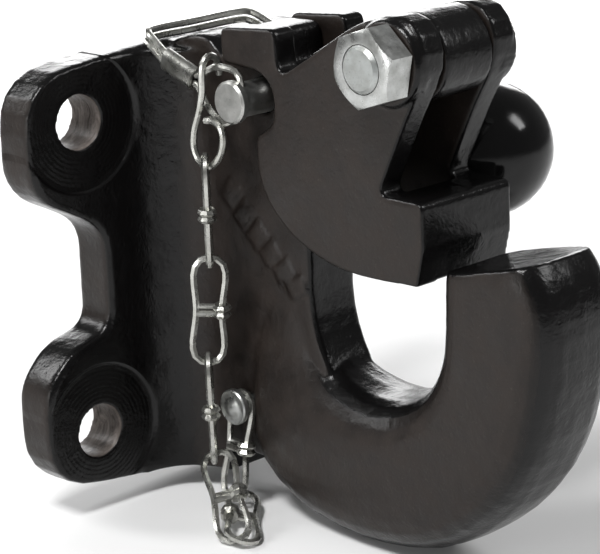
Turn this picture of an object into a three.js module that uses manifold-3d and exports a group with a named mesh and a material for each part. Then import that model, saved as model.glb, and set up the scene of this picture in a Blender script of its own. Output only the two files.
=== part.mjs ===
// Rigid-mount pintle hook: a forged hook on a four-bolt plate, a swinging upper jaw on a pivot bolt,
// a wire lock pin on a weldless chain, and a ball knob on the jaw's far cheek.
// Millimetres. +X points out of the mounting face, +Z up, and y = 0 is the hook's middle plane.
// The origin is the centre of the plate's mounting face.

import * as THREE from 'three';
import { mergeVertices } from 'three/addons/utils/BufferGeometryUtils.js';
import Module from 'manifold-3d';

const wasm = await Module();
wasm.setup();

// Driving dimensions

const GAP = 0.3;                                   // between pieces that touch
const PLATE = { thick: 19, halfWidth: 80, waist: 47.5, top: 79.8, bottom: -79 };
const BOLT_HOLE = { y: 55.5, z: 60.3, r: 10.3, spotR: 26.5, spotDepth: 0.8 };
const WEB = { half: 11.8, filletR: 23 };
const CHEEK = { inner: 12.2, outer: 22.9, bossR: 15, bossOut: 26.1 };
const PIVOT = { x: 147.3, z: 91.8, barrelR: 15.6, boltR: 8.3 };
const NUT = { flats: 25.2, thick: 10.6 };
const HORN_TOP = { x: 164, z: 20, slope: 13 };
const NOSE = { x: 159.5, z: 27, slope: 14 };
const PIN = { x: 71.7, z: 69.7, r: 6.35, headR: 7.9, headOut: -29.4, headIn: -26.4, tip: 26.5 };
const WIRE_R = 1.35;
const BAIL = { nearY: -24.8, farY: 28.9, bar: 54.5, pair: 1.75 };
const FERRULE = { start: 23, end: 39.5, drop: -2.6 };
const KNOB = { x: 127, y: 46, z: 46.3, r: 25, flat: 24, studR: 6.5 };
const RIVET = { x: 55, z: -52.3, shankR: 3.1, headR: 7, headIn: -18.3, headOut: -20.7 };
const LINK = { wireR: 1.35, halfWidth: 5.9, halfLength: 21.3, waist: 4.8 };

// Each chain link: the point its first eye hangs from, the way it points and its width direction.
const CHAIN = [
  { eye: [57.4, -29.3, 48.2], along: [-3, 2.2, -42.3], across: [0.73, -0.68, 0] },
  { eye: [54.4, -27, 8.8], along: [-4.2, 0, -42.4], across: [0.68, 0.73, 0] },
  { eye: [50.2, -27, -30.6], along: [0.4, 0, -42.6], across: [0.73, -0.68, 0] },
  { eye: [51.7, -27.1, -69.2], along: [0.732, -0.448, -0.513], across: [0.606, 0.772, 0.191] },
  { eye: [55, -14.5, -47.5], along: [-1, -7.4, -42], across: [1, 0, 0] },
  { eye: [55.9, -18.4, -87], along: [0.738, -0.671, -0.07], across: [-0.631, -0.723, 0.281] },
];

const BLACK_PAINT = { color: 0x16161a, roughness: 0.28, metalness: 0.1 };
const ZINC = { color: 0xb9bcc0, roughness: 0.35, metalness: 0.9 };
const BLACK_PLASTIC = { color: 0x0d0d0f, roughness: 0.12, metalness: 0.0 };

const X_AXIS = new THREE.Vector3(1, 0, 0);
const Y_AXIS = new THREE.Vector3(0, 1, 0);
const Z_AXIS = new THREE.Vector3(0, 0, 1);
const root = new THREE.Group();

// Solids and meshes

function weld(geometry) {
  const plain = geometry.index ? geometry.toNonIndexed() : geometry.clone();
  for (const name of Object.keys(plain.attributes)) {
    if (name !== 'position') {
      plain.deleteAttribute(name);
    }
  }
  return mergeVertices(plain, 1e-4);
}

function solid(geometry) {
  const welded = weld(geometry);
  return new wasm.Manifold(new wasm.Mesh({
    numProp: 3,
    vertProperties: new Float32Array(welded.attributes.position.array),
    triVerts: new Uint32Array(welded.index.array),
  }));
}

function geometryOf(manifold) {
  const mesh = manifold.getMesh();
  const geometry = new THREE.BufferGeometry();
  geometry.setAttribute('position', new THREE.BufferAttribute(new Float32Array(mesh.vertProperties), 3));
  geometry.setIndex(new THREE.BufferAttribute(new Uint32Array(mesh.triVerts), 1));
  geometry.computeVertexNormals();
  return geometry;
}

function join(...manifolds) {
  return manifolds.reduce((sum, next) => sum.add(next));
}

function cut(body, ...tools) {
  return tools.reduce((rest, tool) => rest.subtract(tool), body);
}

function addPiece(name, geometry, look, parent = root) {
  const mesh = new THREE.Mesh(geometry, new THREE.MeshStandardMaterial(look));
  mesh.name = name;
  parent.add(mesh);
  return mesh;
}

function placed(geometry, position, axisX, axisY, axisZ) {
  const matrix = new THREE.Matrix4().makeBasis(axisX, axisY, axisZ).setPosition(position);
  return geometry.applyMatrix4(matrix);
}

// A closed outline from corners [a, b, radius], with each corner rounded off.
function roundedShape(corners) {
  const shape = new THREE.Shape();
  corners.forEach(([a, b, radius], i) => {
    const corner = new THREE.Vector2(a, b);
    const before = new THREE.Vector2(...corners.at(i - 1)).sub(corner);
    const after = new THREE.Vector2(...corners[(i + 1) % corners.length]).sub(corner);
    const entry = corner.clone().addScaledVector(before, Math.min(0.49, radius / before.length()));
    const exit = corner.clone().addScaledVector(after, Math.min(0.49, radius / after.length()));
    if (i === 0) {
      shape.moveTo(entry.x, entry.y);
    } else {
      shape.lineTo(entry.x, entry.y);
    }
    shape.quadraticCurveTo(a, b, exit.x, exit.y);
  });
  shape.closePath();
  return shape;
}

// A plate between two offsets, with its edges rounded by the bevel inside the outline.
function slab(shape, low, high, bevel, curveSegments = 5) {
  const geometry = new THREE.ExtrudeGeometry(shape, {
    depth: high - low - 2 * bevel,
    bevelEnabled: bevel > 0,
    bevelThickness: bevel,
    bevelSize: bevel,
    bevelOffset: -bevel,
    bevelSegments: 2,
    curveSegments,
  });
  return geometry.translate(0, 0, low + bevel);
}

// A slab whose outline is given as (x, z) and whose offsets are along y.
function sideSlab(shape, lowY, highY, bevel, curveSegments) {
  const geometry = slab(shape, -highY, -lowY, bevel, curveSegments);
  return placed(geometry, new THREE.Vector3(), X_AXIS, Z_AXIS, Y_AXIS.clone().negate());
}

// A slab whose outline is given as (y, z) and whose offsets are along x.
function frontSlab(shape, lowX, highX, bevel, curveSegments) {
  const geometry = slab(shape, lowX, highX, bevel, curveSegments);
  return placed(geometry, new THREE.Vector3(), Y_AXIS, Z_AXIS, X_AXIS);
}

function box(lowX, highX, lowY, highY, lowZ, highZ) {
  const geometry = new THREE.BoxGeometry(highX - lowX, highY - lowY, highZ - lowZ);
  return geometry.translate((lowX + highX) / 2, (lowY + highY) / 2, (lowZ + highZ) / 2);
}

// A turned piece about a line along y through (x, z), from profile points [radius, y].
function turnedY(profile, x, z, segments = 28) {
  const geometry = new THREE.LatheGeometry(profile.map(([r, y]) => new THREE.Vector2(r, y)), segments);
  return geometry.translate(x, 0, z);
}

function rodY(radius, lowY, highY, x, z, segments = 28) {
  const geometry = new THREE.CylinderGeometry(radius, radius, highY - lowY, segments);
  return geometry.translate(x, (lowY + highY) / 2, z);
}

function rodX(radius, lowX, highX, y, z, segments = 28) {
  const geometry = new THREE.CylinderGeometry(radius, radius, highX - lowX, segments);
  return geometry.rotateZ(-Math.PI / 2).translate((lowX + highX) / 2, y, z);
}

function rodBetween(start, end, radius, segments = 10) {
  const along = new THREE.Vector3().subVectors(end, start);
  const geometry = new THREE.CylinderGeometry(radius, radius, along.length(), segments);
  geometry.applyQuaternion(new THREE.Quaternion().setFromUnitVectors(Y_AXIS, along.clone().normalize()));
  const middle = start.clone().add(end).multiplyScalar(0.5);
  return geometry.translate(middle.x, middle.y, middle.z);
}

// A round wire along an open curve, with flat ends.
function wireAlong(curve, radius, steps, quarterSides) {
  const section = new THREE.Shape().absarc(0, 0, radius, 0, 2 * Math.PI);
  return new THREE.ExtrudeGeometry(section, {
    steps, curveSegments: quarterSides, bevelEnabled: false, extrudePath: curve,
  });
}

// Hook body

// Stations of the hook's bar, from the neck down and round to the tip: the throat-side point, the
// outer point, the half width across and how square its section is.
const HOOK_STATIONS = [
  { inner: [91.5, 14], outer: [66, 18], half: 11, square: 3.2 },
  { inner: [91.5, -6], outer: [60, -12], half: 12, square: 3.0 },
  { inner: [94, -21], outer: [53, -42], half: 14.5, square: 2.7 },
  { inner: [101, -30], outer: [58, -73], half: 18.5, square: 2.8 },
  { inner: [112, -34.5], outer: [84, -88.5], half: 21.5, square: 2.9 },
  { inner: [126, -35.5], outer: [118, -92.8], half: 22.5, square: 3.0 },
  { inner: [140, -32], outer: [152, -87.5], half: 22.5, square: 3.0 },
  { inner: [151, -25], outer: [181, -70], half: 22.3, square: 3.2 },
  { inner: [158.5, -13], outer: [200, -46], half: 22.2, square: 3.4 },
  { inner: [161.5, 0], outer: [209, -18], half: 22, square: 3.8 },
  { inner: [161.7, 12], outer: [211.5, 6], half: 21.6, square: 4 },
  { inner: [162.5, 22], outer: [208.5, 20], half: 21, square: 4 },
  { inner: [165, 31], outer: [202, 31], half: 19, square: 3.6 },
];
const SECTION_POINTS = 26;
const HOOK_STEPS = 34;

// Superellipse section between the throat-side and the outer point.
function hookSection(inner, outer, half, square) {
  const middle = inner.clone().add(outer).multiplyScalar(0.5);
  const reach = inner.clone().sub(outer).multiplyScalar(0.5);
  const ring = [];
  for (let i = 0; i < SECTION_POINTS; i += 1) {
    const angle = (2 * Math.PI * i) / SECTION_POINTS;
    const c = Math.sign(Math.cos(angle)) * Math.abs(Math.cos(angle)) ** (2 / square);
    const s = Math.sign(Math.sin(angle)) * Math.abs(Math.sin(angle)) ** (2 / square);
    ring.push(new THREE.Vector3(middle.x + reach.x * c, half * s, middle.z + reach.z * c));
  }
  return ring;
}

function stationCurve(read) {
  return new THREE.CatmullRomCurve3(HOOK_STATIONS.map(read));
}

// Skin over a row of rings, with a fan over each end.
function loft(rings) {
  const positions = [];
  const index = [];
  const count = rings[0].length;
  rings.forEach((ring) => ring.forEach((p) => positions.push(p.x, p.y, p.z)));
  for (let k = 0; k < rings.length - 1; k += 1) {
    for (let i = 0; i < count; i += 1) {
      const a = k * count + i;
      const b = k * count + ((i + 1) % count);
      index.push(a, a + count, b, b, a + count, b + count);
    }
  }
  [0, rings.length - 1].forEach((k) => {
    const centre = new THREE.Vector3();
    rings[k].forEach((p) => centre.addScaledVector(p, 1 / count));
    const hub = positions.length / 3;
    positions.push(centre.x, centre.y, centre.z);
    for (let i = 0; i < count; i += 1) {
      const a = k * count + i;
      const b = k * count + ((i + 1) % count);
      index.push(...(k === 0 ? [hub, a, b] : [hub, b, a]));
    }
  });
  const geometry = new THREE.BufferGeometry();
  geometry.setAttribute('position', new THREE.Float32BufferAttribute(positions, 3));
  geometry.setIndex(index);
  return geometry;
}

function hookBar() {
  const inner = stationCurve((s) => new THREE.Vector3(s.inner[0], 0, s.inner[1]));
  const outer = stationCurve((s) => new THREE.Vector3(s.outer[0], 0, s.outer[1]));
  const form = stationCurve((s) => new THREE.Vector3(s.half, s.square, 0));
  const rings = [];
  for (let k = 0; k <= HOOK_STEPS; k += 1) {
    const t = k / HOOK_STEPS;
    const { x: half, y: square } = form.getPoint(t);
    rings.push(hookSection(inner.getPoint(t), outer.getPoint(t), half, square));
  }
  return loft(rings);
}

function plateOutline() {
  const right = [
    [PLATE.halfWidth, PLATE.top, 24],
    [PLATE.halfWidth, 36, 12],
    [PLATE.waist, 18.5, 10],
    [PLATE.waist, -21.5, 8],
    [67, -26, 7],
    [PLATE.halfWidth, -39, 8],
    [PLATE.halfWidth, PLATE.bottom, 24],
  ];
  const left = right.map(([y, z, radius]) => [-y, z, radius]);
  return roundedShape([[0, 86, 35], ...left, [0, -88, 35], ...right.reverse()]);
}

// Side view of the web and the neck that carries the pivot barrel.
function webOutline() {
  return roundedShape([
    [8, -86.5, 5], [22, -86.5, 5], [40, -78, 8], [53, -73, 6], [66, -74, 5], [96, -60, 10],
    [103, -36, 8], [92, -16, 12], [91.5, 24, 12], [103, 47, 11], [122, 64, 10], [141, 77, 6],
    [153, 90, 6], [146, 106, 6], [128, 98.5, 8], [101, 82.3, 8], [80, 80.2, 3.5],
    [79.7, 94.5, 4], [61, 94, 4], [55, 82.5, 4.5], [47.5, 82.5, 3.5], [42.5, 88, 3.5], [33, 88.3, 4],
    [20, 84, 5], [8, 83, 5],
  ]);
}

// Concave root where the web's two faces spread into the plate, as an outline in (x, y).
function webRoot() {
  const r = WEB.filletR;
  const start = PLATE.thick - 3;
  const shape = new THREE.Shape();
  shape.moveTo(start, -WEB.half - r);
  shape.lineTo(PLATE.thick, -WEB.half - r);
  shape.absarc(PLATE.thick + r, -WEB.half - r, r, Math.PI, Math.PI / 2, true);
  shape.lineTo(PLATE.thick + r, WEB.half);
  shape.absarc(PLATE.thick + r, WEB.half + r, r, 1.5 * Math.PI, Math.PI, true);
  shape.lineTo(start, WEB.half + r);
  shape.closePath();
  const geometry = new THREE.ExtrudeGeometry(shape, { depth: 166, bevelEnabled: false, curveSegments: 7 });
  return geometry.translate(0, 0, -84);
}

// Blank raised pads on the web's near face, on an arc round the throat.
function markPads() {
  const count = 6;
  const pads = [];
  for (let i = 0; i < count; i += 1) {
    const t = i / (count - 1);
    const pad = box(-3.1, 3.1, -1.1, 1.1, -4.4, 4.4);
    pad.rotateY(THREE.MathUtils.degToRad(38 + 22 * t));
    pad.translate(51 + 34 * t, -WEB.half - 0.1, 30 - 31 * t - 7 * t * (1 - t));
    pads.push(solid(pad));
  }
  return pads;
}

// A cutting block with a corner at (x, z), tipped up about y; length and height run from that corner.
function slantedBlock(x, z, degrees, length, width, height) {
  const block = box(...length, -width, width, ...height);
  return block.rotateY(-THREE.MathUtils.degToRad(degrees)).translate(x, 0, z);
}

function hookBodyGeometry() {
  const holes = [];
  [-1, 1].forEach((side) => [-1, 1].forEach((level) => {
    const y = side * BOLT_HOLE.y;
    const z = level * BOLT_HOLE.z;
    holes.push(solid(rodX(BOLT_HOLE.r, -5, PLATE.thick + 20, y, z, 28)));
    holes.push(solid(rodX(BOLT_HOLE.spotR, PLATE.thick - BOLT_HOLE.spotDepth, PLATE.thick + 20, y, z, 40)));
  }));
  const above = slantedBlock(HORN_TOP.x, HORN_TOP.z, HORN_TOP.slope, [-40, 80], 40, [0, 40]);
  const horn = cut(solid(hookBar()), solid(above));
  const raw = join(
    solid(frontSlab(plateOutline(), 0, PLATE.thick, 2.5)),
    solid(sideSlab(webOutline(), -WEB.half, WEB.half, 2, 3)),
    solid(webRoot()),
    horn,
    solid(rodY(PIVOT.barrelR, -WEB.half, WEB.half, PIVOT.x, PIVOT.z, 36)),
    ...markPads(),
  );
  return geometryOf(cut(
    raw,
    ...holes,
    solid(rodY(PIVOT.boltR + GAP, -30, 30, PIVOT.x, PIVOT.z, 32)),
    solid(rodY(PIN.r + GAP, -30, 30, PIN.x, PIN.z)),
    solid(rodY(RIVET.shankR + GAP, -30, -4.7, RIVET.x, RIVET.z, 20)),
  ));
}

// Upper jaw

function cheekOutline() {
  return roundedShape([
    [61.5, 95.2, 3], [61.5, 82, 3], [82, 81.2, 5], [88.5, 75, 5], [88, 63, 4], [78.2, 57, 2.5],
    [78, 40, 9], [88, 27, 11], [104, 17.6, 12], [124, 13.2, 12], [159.8, 14.8, 3], [159.8, 44.5, 2.5],
    [141.5, 44.5, 2.5], [140.3, 47, 2], [152.5, 71.5, 4], [165.8, 94, 13], [156, 110, 13],
    [133, 104.6, 10], [94.5, 82, 5], [91, 83, 3], [90.3, 97.3, 4],
  ].reverse());
}

function noseBlock() {
  const shape = roundedShape([
    [139, 16, 4], [159.8, 14.8, 3], [159.8, 44.8, 3], [141, 44.8, 4],
  ]);
  return sideSlab(shape, -CHEEK.outer, CHEEK.outer, 1.5, 3);
}

function jawGeometry() {
  const outline = cheekOutline();
  const bodies = [solid(noseBlock())];
  const tools = [];
  [-1, 1].forEach((side) => {
    const low = side < 0 ? -CHEEK.outer : CHEEK.inner;
    const high = side < 0 ? -CHEEK.inner : CHEEK.outer;
    bodies.push(solid(sideSlab(outline, low, high, 1.2, 3)));
    const boss = turnedY([
      [0, 0], [CHEEK.bossR, 0], [CHEEK.bossR, 5.4], [CHEEK.bossR - 1.2, 6.6], [0, 6.6],
    ], 0, 0, 36);
    boss.rotateX(side < 0 ? Math.PI : 0).translate(PIVOT.x, side * 19, PIVOT.z);
    bodies.push(solid(boss));
  });
  const groove = new THREE.CylinderGeometry(4.4, 4.4, 40, 4).rotateZ(Math.PI / 2);
  groove.rotateX(Math.PI / 4).translate(150, 2, 47.5);
  tools.push(solid(groove));
  tools.push(solid(slantedBlock(NOSE.x, NOSE.z, -NOSE.slope, [0, 12], 30, [-25, 12])));
  tools.push(solid(rodY(PIVOT.boltR + GAP, -30, 30, PIVOT.x, PIVOT.z, 32)));
  tools.push(solid(rodY(14.3, CHEEK.bossOut - 6.5, CHEEK.bossOut + 5, PIVOT.x, PIVOT.z, 36)));
  tools.push(solid(rodY(KNOB.studR + GAP, CHEEK.outer - 8, CHEEK.outer + 5, KNOB.x, KNOB.z, 24)));
  return geometryOf(cut(join(...bodies), ...tools));
}

// Pivot bolt with a flush round head on the far side, and its hexagon nut on the near side

function boltGeometry() {
  const r = PIVOT.boltR;
  const seat = CHEEK.bossOut - 6.5 + GAP;
  const end = -CHEEK.bossOut - NUT.thick - 1.6;
  return turnedY([
    [0, end], [r - 1.3, end], [r, end + 1.3], [r, seat], [14, seat], [14, seat + 4.6],
    [12.8, seat + 5.8], [0, seat + 5.8],
  ], PIVOT.x, PIVOT.z, 32);
}

function nutGeometry() {
  const low = -CHEEK.bossOut - GAP - NUT.thick;
  const high = -CHEEK.bossOut - GAP;
  const corner = NUT.flats / Math.sqrt(3);
  const hexagon = new THREE.CylinderGeometry(corner, corner, NUT.thick, 6, 1);
  hexagon.rotateY(THREE.MathUtils.degToRad(90 - 18.6)).translate(PIVOT.x, (low + high) / 2, PIVOT.z);
  const chamfer = turnedY([
    [0, low], [corner - 2, low], [corner + 0.1, low + 1.3], [corner + 0.1, high], [0, high],
  ], PIVOT.x, PIVOT.z, 40);
  const bore = rodY(PIVOT.boltR + GAP, low - 5, high + 5, PIVOT.x, PIVOT.z, 32);
  return geometryOf(cut(solid(hexagon).intersect(solid(chamfer)), solid(bore)));
}

// Lock pin, its doubled wire bail and the ferrule on the bail

// Directions in the bail's own plane: back towards the bar, and along the pin's cross hole.
const BACK = new THREE.Vector3(-0.94, 0, 0.341).normalize();
const CROSS = new THREE.Vector3(0.341, 0, 0.94).normalize();

function bailPoint(back, y, cross) {
  return new THREE.Vector3(PIN.x, y, PIN.z).addScaledVector(BACK, back).addScaledVector(CROSS, cross);
}

function pinGeometry() {
  const head = PIN.headOut;
  const pin = turnedY([
    [0, head], [PIN.headR - 0.8, head], [PIN.headR, head + 0.8], [PIN.headR, PIN.headIn],
    [PIN.r, PIN.headIn], [PIN.r, PIN.tip - 1.5], [PIN.r - 1.5, PIN.tip], [0, PIN.tip],
  ], PIN.x, PIN.z, 28);
  const hole = rodBetween(
    bailPoint(0, BAIL.nearY, -12), bailPoint(0, BAIL.nearY, 12), WIRE_R + GAP, 14,
  );
  return geometryOf(cut(solid(pin), solid(hole)));
}

// One wire, bent double: out of the cross hole, back to the bar, over, round the far eye and home.
function bailCurve() {
  const { nearY, farY, bar, pair } = BAIL;
  const upper = [
    [0, 3.4], [0, 7], [2.4, 9.6], [6.5, 9.6], [14, 6.8], [19, 2], [22.5, FERRULE.drop + pair],
    [FERRULE.end, FERRULE.drop + pair], [46, 0.6], [bar - 5, pair],
  ];
  const lower = [
    [0, -3.4], [0, -7.4], [2.6, -10.6], [8.5, -11.2], [15, -8.6], [19.5, -5.6],
    [22.5, FERRULE.drop - pair], [FERRULE.end, FERRULE.drop - pair], [46, -2.8], [bar - 5, -pair],
  ];
  const across = (side) => [
    bailPoint(bar - 1.2, nearY + 1.4, side), bailPoint(bar, nearY + 5, side),
    bailPoint(bar, 0, side), bailPoint(bar, farY - 5, side), bailPoint(bar - 1.2, farY - 1.4, side),
    bailPoint(bar - 5, farY, side), bailPoint(22, farY, side), bailPoint(10, farY, 2.6 * side),
    bailPoint(2, farY, 3.1 * side),
  ];
  const near = (list) => list.map(([back, cross]) => bailPoint(back, nearY, cross));
  return new THREE.CatmullRomCurve3([
    ...near(upper), ...across(pair), bailPoint(-2.4, farY, 0),
    ...across(-pair).reverse(), ...near(lower).reverse(),
  ], false, 'centripetal');
}

function ferruleGeometry() {
  const round = (path, radius) => {
    path.absarc(-BAIL.pair, 0, radius, Math.PI / 2, 1.5 * Math.PI);
    path.absarc(BAIL.pair, 0, radius, -Math.PI / 2, Math.PI / 2);
    path.closePath();
    return path;
  };
  const shape = round(new THREE.Shape(), WIRE_R + GAP + 1);
  shape.holes.push(round(new THREE.Path(), WIRE_R + GAP));
  const length = FERRULE.end - FERRULE.start;
  const geometry = new THREE.ExtrudeGeometry(shape, { depth: length, bevelEnabled: false, curveSegments: 8 });
  const start = bailPoint(FERRULE.start, BAIL.nearY, FERRULE.drop);
  return placed(geometry, start, CROSS, new THREE.Vector3().crossVectors(BACK, CROSS), BACK);
}

// Over the bail's upper strand, down its front and round an open eye that carries the chain.
function sHookCurve() {
  const y = -29.3;
  return new THREE.CatmullRomCurve3([
    [58.4, -21, 77], [58.4, -21, 80.5], [58.4, -22.2, 83.2], [58.4, -25.2, 84.8],
    [58.4, -28.2, 83.2], [58.2, y, 79], [57.6, y, 72], [55.6, y, 65], [52.2, y, 57], [51.6, y, 50.5],
    [54.4, y, 45.6], [59.4, y, 44.4], [64.8, y, 48.2], [67.8, y, 55], [66.8, y, 60], [62.5, y, 62],
    [58.8, y, 61.6],
  ].map((p) => new THREE.Vector3(...p)), false, 'centripetal');
}

// Chain

// One weldless link, long along z and wide along x: two eyes with the wire ends wrapped at its waist.
function linkGeometry() {
  const { wireR, halfWidth, halfLength, waist } = LINK;
  const eye = halfLength - halfWidth;
  const points = [];
  [1, -1].forEach((end) => {
    for (let i = 0; i < 5; i += 1) {
      const angle = (Math.PI * i) / 4;
      const along = eye + halfWidth * Math.sin(angle);
      points.push(new THREE.Vector3(end * halfWidth * Math.cos(angle), 0, end * along));
    }
    points.push(new THREE.Vector3(-end * waist, 0, 0));
  });
  const wire = new THREE.CatmullRomCurve3(points, true, 'centripetal');
  const bodies = [solid(new THREE.TubeGeometry(wire, 30, wireR, 6, true))];
  [-1, 1].forEach((turn) => {
    const z = turn * wireR * 0.95;
    const wrap = new THREE.TorusGeometry(wireR * 1.9, wireR * 0.95, 5, 9);
    bodies.push(solid(wrap.translate(waist, 0, z)));
    const start = new THREE.Vector3(-waist, 0.4 * turn, z);
    bodies.push(solid(rodBetween(start, new THREE.Vector3(waist, 0.4 * turn, z), wireR * 0.9, 7)));
  });
  return geometryOf(join(...bodies));
}

// A link hung by its first eye at a point, pointing along a direction, with its width across.
function hungLink({ eye, along, across }) {
  const down = new THREE.Vector3(...along).normalize();
  const axisZ = down.clone().negate();
  const axisY = new THREE.Vector3().crossVectors(axisZ, new THREE.Vector3(...across)).normalize();
  const axisX = new THREE.Vector3().crossVectors(axisY, axisZ);
  const centre = new THREE.Vector3(...eye).addScaledVector(down, LINK.halfLength);
  return placed(linkGeometry(), centre, axisX, axisY, axisZ);
}

function rivetGeometry() {
  const { x, z, shankR, headR, headIn, headOut } = RIVET;
  return turnedY([
    [0, headOut - 1.4], [1.8, headOut - 1.2], [3.6, headOut], [4.6, headOut + 0.3],
    [headR - 0.5, headOut], [headR, headOut + 0.6], [headR, headIn], [shankR, headIn], [shankR, -5], [0, -5],
  ], x, z, 24);
}

// Ball knob on a stud from the jaw's far cheek

function knobGeometry() {
  const { x, y, z, r, flat, studR } = KNOB;
  const profile = [[0, flat], [Math.sqrt(r * r - (flat - y) ** 2), flat]];
  const start = Math.acos((flat - y) / r);
  for (let i = 1; i < 14; i += 1) {
    const angle = start * (1 - i / 14);
    profile.push([r * Math.sin(angle), y + r * Math.cos(angle)]);
  }
  profile.push([0, y + r]);
  const bore = rodY(studR + GAP, flat - 5, y, x, z, 20);
  return geometryOf(cut(solid(turnedY(profile, x, z, 36)), solid(bore)));
}

function studGeometry() {
  return rodY(KNOB.studR, CHEEK.outer - 8 + GAP, KNOB.y - GAP, KNOB.x, KNOB.z, 20);
}

addPiece('hook_body', hookBodyGeometry(), BLACK_PAINT);
addPiece('upper_jaw', jawGeometry(), BLACK_PAINT);
addPiece('pivot_bolt', boltGeometry(), ZINC);
addPiece('pivot_nut', nutGeometry(), ZINC);
addPiece('knob_stud', studGeometry(), ZINC);
addPiece('lift_knob', knobGeometry(), BLACK_PLASTIC);
addPiece('lock_pin', pinGeometry(), ZINC);
addPiece('wire_bail', wireAlong(bailCurve(), WIRE_R, 120, 4), ZINC);
addPiece('bail_ferrule', ferruleGeometry(), ZINC);
addPiece('s_hook', wireAlong(sHookCurve(), WIRE_R, 56, 4), ZINC);
addPiece('chain_rivet', rivetGeometry(), ZINC);
CHAIN.forEach((place, i) => addPiece(`chain_link_${i + 1}`, hungLink(place), ZINC));

export default root;
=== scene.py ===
import math
import bpy
from mathutils import Matrix, Vector


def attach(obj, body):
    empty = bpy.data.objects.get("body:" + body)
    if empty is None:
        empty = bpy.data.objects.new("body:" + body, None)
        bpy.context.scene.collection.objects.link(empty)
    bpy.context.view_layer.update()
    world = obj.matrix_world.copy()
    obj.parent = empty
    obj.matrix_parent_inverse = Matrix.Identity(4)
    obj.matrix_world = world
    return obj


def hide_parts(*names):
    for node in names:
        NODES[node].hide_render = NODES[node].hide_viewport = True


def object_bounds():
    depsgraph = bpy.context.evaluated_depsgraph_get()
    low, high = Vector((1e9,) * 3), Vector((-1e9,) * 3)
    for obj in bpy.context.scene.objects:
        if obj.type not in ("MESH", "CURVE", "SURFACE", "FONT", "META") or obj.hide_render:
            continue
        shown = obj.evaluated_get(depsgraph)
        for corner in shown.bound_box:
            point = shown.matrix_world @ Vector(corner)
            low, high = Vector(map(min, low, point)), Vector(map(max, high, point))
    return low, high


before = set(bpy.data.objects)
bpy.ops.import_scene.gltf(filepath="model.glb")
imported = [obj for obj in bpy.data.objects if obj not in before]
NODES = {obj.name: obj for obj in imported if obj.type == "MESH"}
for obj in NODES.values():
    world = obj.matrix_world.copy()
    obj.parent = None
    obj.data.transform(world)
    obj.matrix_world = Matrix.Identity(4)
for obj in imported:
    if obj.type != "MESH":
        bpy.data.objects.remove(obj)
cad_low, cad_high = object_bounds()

MM = 0.001
WELD_DISTANCE = 1e-6
EDGE_ANGLE = math.radians(32)
FLOOR_GAP = 0.2 * MM
FLOOR_HALF = 4.0
SCENE = bpy.context.scene

# Camera

AZIMUTH, ELEVATION, ROLL = (math.radians(v) for v in (46.94, 16.38, 2.53))
CAMERA_DISTANCE = 0.87269
CAMERA_TARGET = Vector((0.080, 0.0, 0.0))
CAMERA_OFFSET = (-0.00406, -0.00064)
CAMERA_LENS, CAMERA_SENSOR = 140.54, 36.0


def make_camera():
    """The photograph's viewpoint, as a turn about the target, a tilt, a roll and a small side step."""
    back = Vector((
        math.sin(AZIMUTH) * math.cos(ELEVATION),
        -math.cos(AZIMUTH) * math.cos(ELEVATION),
        math.sin(ELEVATION),
    ))
    level = Vector((math.cos(AZIMUTH), math.sin(AZIMUTH), 0))
    upright = back.cross(level)
    right = level * math.cos(ROLL) - upright * math.sin(ROLL)
    up = upright * math.cos(ROLL) + level * math.sin(ROLL)
    place = CAMERA_TARGET + right * CAMERA_OFFSET[0] + up * CAMERA_OFFSET[1] + back * CAMERA_DISTANCE
    data = bpy.data.cameras.new("camera")
    data.lens = CAMERA_LENS
    data.sensor_width = CAMERA_SENSOR
    data.clip_start = 0.01
    camera = bpy.data.objects.new("camera", data)
    SCENE.collection.objects.link(camera)
    camera.matrix_world = Matrix((
        (right.x, up.x, back.x, place.x),
        (right.y, up.y, back.y, place.y),
        (right.z, up.z, back.z, place.z),
        (0, 0, 0, 1),
    ))
    SCENE.camera = camera


# Light and floor

def area_light(name, place, target, size, power, size_y=None):
    """A soft light at a place, facing a target, square unless its height is given too."""
    data = bpy.data.lights.new(name, "AREA")
    data.energy = power
    data.size = size
    if size_y:
        data.shape = "RECTANGLE"
        data.size_y = size_y
    light = bpy.data.objects.new(name, data)
    SCENE.collection.objects.link(light)
    light.location = place
    light.rotation_mode = "QUATERNION"
    light.rotation_quaternion = (Vector(target) - Vector(place)).to_track_quat("-Z", "Y")


def make_world(strength):
    world = bpy.data.worlds.new("studio")
    world.use_nodes = True
    background = world.node_tree.nodes["Background"]
    background.inputs["Color"].default_value = (1, 1, 1, 1)
    background.inputs["Strength"].default_value = strength
    SCENE.world = world


def make_floor(z, half):
    mesh = bpy.data.meshes.new("floor")
    corners = [(-half, -half, z), (half, -half, z), (half, half, z), (-half, half, z)]
    mesh.from_pydata(corners, [], [(0, 1, 2, 3)])
    floor = bpy.data.objects.new("floor", mesh)
    SCENE.collection.objects.link(floor)
    mesh.materials.append(floor_material())


# Node material helpers

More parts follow.
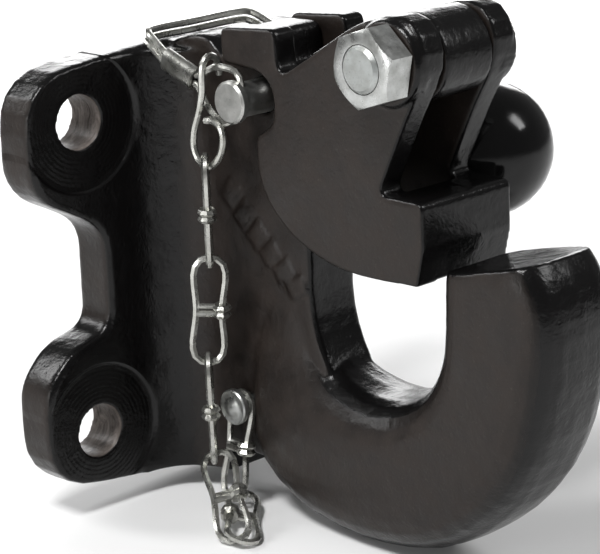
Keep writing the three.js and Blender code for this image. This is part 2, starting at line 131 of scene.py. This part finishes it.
class Graph:
    """A node material under construction."""

    def __init__(self, name):
        self.material = bpy.data.materials.new(name)
        self.material.use_nodes = True
        self.tree = self.material.node_tree
        self.shader = self.tree.nodes["Principled BSDF"]
        self.where = self.add("ShaderNodeTexCoord").outputs["Object"]
        self.facing = self.where.node.outputs["Normal"]

    def add(self, kind, **settings):
        node = self.tree.nodes.new(kind)
        for key, value in settings.items():
            setattr(node, key, value)
        return node

    def link(self, source, target):
        self.tree.links.new(source, target)

    def feed(self, socket, value):
        if isinstance(value, bpy.types.NodeSocket):
            self.link(value, socket)
        else:
            socket.default_value = value

    def noise(self, scale, detail=4.0, roughness=0.5, distortion=0.0, stretch=None):
        node = self.add("ShaderNodeTexNoise")
        source = self.where
        if stretch:
            mapping = self.add("ShaderNodeMapping")
            mapping.inputs["Scale"].default_value = stretch
            self.link(self.where, mapping.inputs["Vector"])
            source = mapping.outputs["Vector"]
        self.link(source, node.inputs["Vector"])
        node.inputs["Scale"].default_value = scale
        node.inputs["Detail"].default_value = detail
        node.inputs["Roughness"].default_value = roughness
        node.inputs["Distortion"].default_value = distortion
        return node.outputs["Fac"]

    def cells(self, scale):
        node = self.add("ShaderNodeTexVoronoi", feature="F1")
        self.link(self.where, node.inputs["Vector"])
        node.inputs["Scale"].default_value = scale
        return node.outputs["Distance"]

    def ramp(self, value, low, high, out_low=0.0, out_high=1.0):
        node = self.add("ShaderNodeMapRange")
        self.link(value, node.inputs["Value"])
        node.inputs["From Min"].default_value = low
        node.inputs["From Max"].default_value = high
        node.inputs["To Min"].default_value = out_low
        node.inputs["To Max"].default_value = out_high
        return node.outputs["Result"]

    def math(self, operation, a, b=0.0):
        node = self.add("ShaderNodeMath", operation=operation)
        self.feed(node.inputs[0], a)
        self.feed(node.inputs[1], b)
        return node.outputs[0]

    def mix(self, factor, a, b):
        node = self.add("ShaderNodeMix", data_type="RGBA")
        self.feed(node.inputs["Factor"], factor)
        self.feed(node.inputs["A"], a if isinstance(a, bpy.types.NodeSocket) else (*a, 1))
        self.feed(node.inputs["B"], b if isinstance(b, bpy.types.NodeSocket) else (*b, 1))
        return node.outputs["Result"]

    def bump(self, height, distance, strength=1.0, under=None):
        node = self.add("ShaderNodeBump")
        node.inputs["Distance"].default_value = distance
        node.inputs["Strength"].default_value = strength
        self.link(height, node.inputs["Height"])
        if under:
            self.link(under, node.inputs["Normal"])
        return node.outputs["Normal"]

    def axis(self, vector, name):
        node = self.add("ShaderNodeSeparateXYZ")
        self.link(vector, node.inputs[0])
        return node.outputs[name]

    def finish(self, color=None, roughness=None, normal=None, **constants):
        shader = self.shader
        if color is not None:
            self.feed(shader.inputs["Base Color"], color)
        if roughness is not None:
            self.feed(shader.inputs["Roughness"], roughness)
        if normal is not None:
            self.link(normal, shader.inputs["Normal"])
        for name, value in constants.items():
            shader.inputs[name.replace("_", " ")].default_value = value
        return self.material


def floor_material():
    graph = Graph("floor")
    tone = graph.mix(graph.noise(3.0), (0.92, 0.92, 0.92), (0.95, 0.95, 0.95))
    return graph.finish(color=tone, roughness=0.9, Specular_IOR_Level=0.1)


# Materials

BOLT_HOLES = [(y * 55.5 * MM, z * 60.3 * MM) for y in (-1, 1) for z in (-1, 1)]
BOLT_HOLE_RADIUS = 10.3 * MM
SPOT_FACE_RADIUS = 26.5 * MM
PLATE_FRONT = 17.2 * MM
CUTTER_WAVES = 3600.0                              # radians per metre away from the hole's axis


def hole_distance(graph):
    """Distance from the nearest bolt hole's axis."""
    y = graph.axis(graph.where, "Y")
    z = graph.axis(graph.where, "Z")
    nearest = None
    for hole_y, hole_z in BOLT_HOLES:
        dy = graph.math("POWER", graph.math("SUBTRACT", y, hole_y), 2.0)
        dz = graph.math("POWER", graph.math("SUBTRACT", z, hole_z), 2.0)
        away = graph.math("SQRT", graph.math("ADD", dy, dz))
        nearest = away if nearest is None else graph.math("MINIMUM", nearest, away)
    return nearest


def bare_mask(graph, away):
    """1 on the bolt holes' bare machined walls and 0 elsewhere."""
    inside = graph.ramp(away, BOLT_HOLE_RADIUS + 0.9 * MM, BOLT_HOLE_RADIUS + 0.3 * MM)
    in_plate = graph.ramp(graph.axis(graph.where, "X"), PLATE_FRONT + 0.6 * MM, PLATE_FRONT)
    return graph.math("MULTIPLY", inside, in_plate)


def spot_face(graph, away, under):
    """The shallow milled step round each bolt hole, with the cutter's faint rings inside it."""
    step = graph.ramp(away, SPOT_FACE_RADIUS - 0.5 * MM, SPOT_FACE_RADIUS + 0.5 * MM)
    turns = graph.math("SINE", graph.math("MULTIPLY", away, CUTTER_WAVES))
    milled = graph.math("MULTIPLY", graph.math("SUBTRACT", 1.0, step), turns)
    height = graph.math("ADD", step, graph.math("MULTIPLY", milled, 0.04))
    return graph.bump(height, 0.0006, 0.8, under)


def forged_paint(name, holes, rough):
    """Glossy black paint over a rough forging, duller on its near side, with painted light there: a
    lighter brown tone on the surfaces facing the near side.
    """
    graph = Graph(name)
    # Painted light: a mask of the surfaces facing the near side (−Y), where light falls.
    side = graph.ramp(graph.axis(graph.facing, "Y"), -0.72, -0.95)
    dust = graph.ramp(graph.noise(95.0, 5.0, 0.6), 0.36, 0.66)
    grain = graph.noise(1100.0, 4.0, 0.7)
    # The near-side painted light, broken up by dust noise; it also roughens the paint there.
    dust_and_near_light = graph.math("MULTIPLY", side, graph.ramp(dust, 0.0, 1.0, 0.55, 1.0))
    # Painted light: the near-black paint turns lighter brown on the near-facing side.
    color = graph.mix(dust_and_near_light, (0.0035, 0.0033, 0.0034), (0.019, 0.0138, 0.0112))
    # The pale dust specks show more on the near side: real dust, partly painted light, because their
    # strength follows the near-side painted light mask.
    shows = graph.ramp(dust_and_near_light, 0.0, 1.0, 0.12, 0.5)
    specks = graph.math("MULTIPLY", graph.ramp(grain, 0.60, 0.72), shows)
    color = graph.mix(specks, color, (0.07, 0.06, 0.052))
    roughness = graph.ramp(graph.noise(60.0, 4.0), 0.3, 0.7, 0.16, 0.27)
    roughness = graph.math("ADD", roughness, graph.math("MULTIPLY", dust_and_near_light, 0.3))
    peel = graph.bump(graph.noise(190.0, 4.0, 0.5, 0.4), 0.0005, 0.5 * rough)
    grit = graph.bump(graph.noise(760.0, 4.0, 0.62), 0.00016, 0.75 * rough, peel)
    normal = graph.bump(graph.ramp(graph.cells(330.0), 0.0, 0.26), 0.00022, 0.3 * rough, grit)
    if holes:
        away = hole_distance(graph)
        normal = spot_face(graph, away, normal)
        bare = bare_mask(graph, away)
        streaks = graph.noise(260.0, 6.0, 0.7, 1.2, stretch=(1.0, 0.35, 0.35))
        metal = graph.mix(graph.ramp(streaks, 0.35, 0.65), (0.035, 0.026, 0.021), (0.19, 0.165, 0.15))
        color = graph.mix(bare, color, metal)
        roughness = graph.math("ADD", roughness, graph.math("MULTIPLY", bare, 0.2))
    return graph.finish(color=color, roughness=roughness, normal=normal, Specular_IOR_Level=0.28)


def zinc(name, base=(0.50, 0.51, 0.50), stain=(0.33, 0.335, 0.32), low=0.22, high=0.42):
    """Bright zinc plating with dull patches, dark spots and a fine uneven surface."""
    graph = Graph(name)
    patches = graph.ramp(graph.noise(140.0, 5.0, 0.6), 0.4, 0.68)
    spots = graph.ramp(graph.noise(1300.0, 2.0), 0.64, 0.72)
    color = graph.mix(patches, base, stain)
    color = graph.mix(graph.math("MULTIPLY", spots, 0.5), color, (0.2, 0.2, 0.2))
    roughness = graph.ramp(graph.noise(220.0, 4.0), 0.3, 0.7, low, high)
    marks = graph.bump(graph.noise(700.0, 4.0, 0.6), 0.00012, 0.6)
    return graph.finish(color=color, roughness=roughness, normal=marks, Metallic=0.95)


def knob_plastic():
    """Glossy black moulded plastic with a faint orange peel."""
    graph = Graph("lift_knob")
    color = graph.mix(graph.noise(40.0, 3.0), (0.003, 0.003, 0.0032), (0.006, 0.0058, 0.0058))
    roughness = graph.ramp(graph.noise(110.0, 5.0), 0.3, 0.7, 0.08, 0.2)
    orange = graph.bump(graph.noise(170.0, 2.0), 0.0002, 0.25)
    return graph.finish(color=color, roughness=roughness, normal=orange, Specular_IOR_Level=0.3)


# Pieces

def dress(node, material):
    """Gives a CAD node its material and smooth shading, split at its real edges."""
    obj = NODES[node]
    obj.data.materials.clear()
    obj.data.materials.append(material)
    for polygon in obj.data.polygons:
        polygon.use_smooth = True
    weld = obj.modifiers.new("weld", "WELD")
    weld.merge_threshold = WELD_DISTANCE
    split = obj.modifiers.new("edges", "EDGE_SPLIT")
    split.split_angle = EDGE_ANGLE


def forged_piece(name, node, body, material, voxel, smooth, relief):
    """A forging's finer surface: the CAD shape with its edges and seams run together.

    relief lists each layer of unevenness as its name, the size of its lumps and its height.
    """
    mesh = NODES[node].data.copy()
    mesh.name = name
    piece = bpy.data.objects.new(name, mesh)
    SCENE.collection.objects.link(piece)
    mesh.materials.clear()
    mesh.materials.append(material)
    weld = piece.modifiers.new("weld", "WELD")
    weld.merge_threshold = WELD_DISTANCE
    remesh = piece.modifiers.new("remesh", "REMESH")
    remesh.mode = "VOXEL"
    remesh.voxel_size = voxel
    remesh.use_smooth_shade = True
    soften = piece.modifiers.new("soften", "SMOOTH")
    soften.factor = 0.5
    soften.iterations = smooth
    for label, size, strength in relief:
        texture = bpy.data.textures.new(f"{name}_{label}", "CLOUDS")
        texture.noise_scale = size
        texture.noise_depth = 2
        displace = piece.modifiers.new(label, "DISPLACE")
        displace.texture = texture
        displace.texture_coords = "LOCAL"
        displace.strength = strength
        displace.mid_level = 0.5
    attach(piece, body)
    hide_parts(node)


make_camera()
make_world(0.16)
make_floor(cad_low.z - FLOOR_GAP, FLOOR_HALF)
area_light("key", (0.25, -0.75, 1.2), (0.08, 0, 0), 0.34, 15)
area_light("front", (0.0, -1.1, 0.2), (0.1, 0, 0.02), 0.36, 2.6, 0.30)
area_light("left", (-0.85, -0.55, 0.75), (0.03, 0, 0), 0.3, 6, 0.6)
area_light("back", (-0.85, 0.85, 0.42), (0.08, 0, 0.03), 1.1, 9, 0.5)
area_light("right", (0.95, 0.55, 0.85), (0.12, 0, 0), 0.3, 5, 0.5)

forged_piece(
    "hook_forging", "hook_body", "hook", forged_paint("hook_body", True, 1.0),
    0.95 * MM, 4, [("dimples", 13 * MM, 0.5 * MM), ("crinkle", 3.0 * MM, 0.12 * MM)],
)
forged_piece(
    "jaw_casting", "upper_jaw", "jaw", forged_paint("upper_jaw", False, 0.8),
    0.75 * MM, 3, [("dimples", 11 * MM, 0.25 * MM), ("crinkle", 2.4 * MM, 0.08 * MM)],
)
dress("lift_knob", knob_plastic())
dress("knob_stud", zinc("knob_stud"))
dress("pivot_bolt", zinc("pivot_bolt", base=(0.46, 0.48, 0.47), low=0.32, high=0.52))
dress("pivot_nut", zinc("pivot_nut"))
dress("lock_pin", zinc("lock_pin", base=(0.5, 0.5, 0.48), low=0.3, high=0.5))
dress("chain_rivet", zinc("chain_rivet", low=0.25, high=0.45))
wire = zinc("wire", base=(0.52, 0.52, 0.49), stain=(0.36, 0.36, 0.33), low=0.2, high=0.38)
for node in NODES:
    if node.startswith("chain_link") or node in ("wire_bail", "bail_ferrule", "s_hook"):
        dress(node, wire)

SCENE.view_settings.view_transform = "Standard"
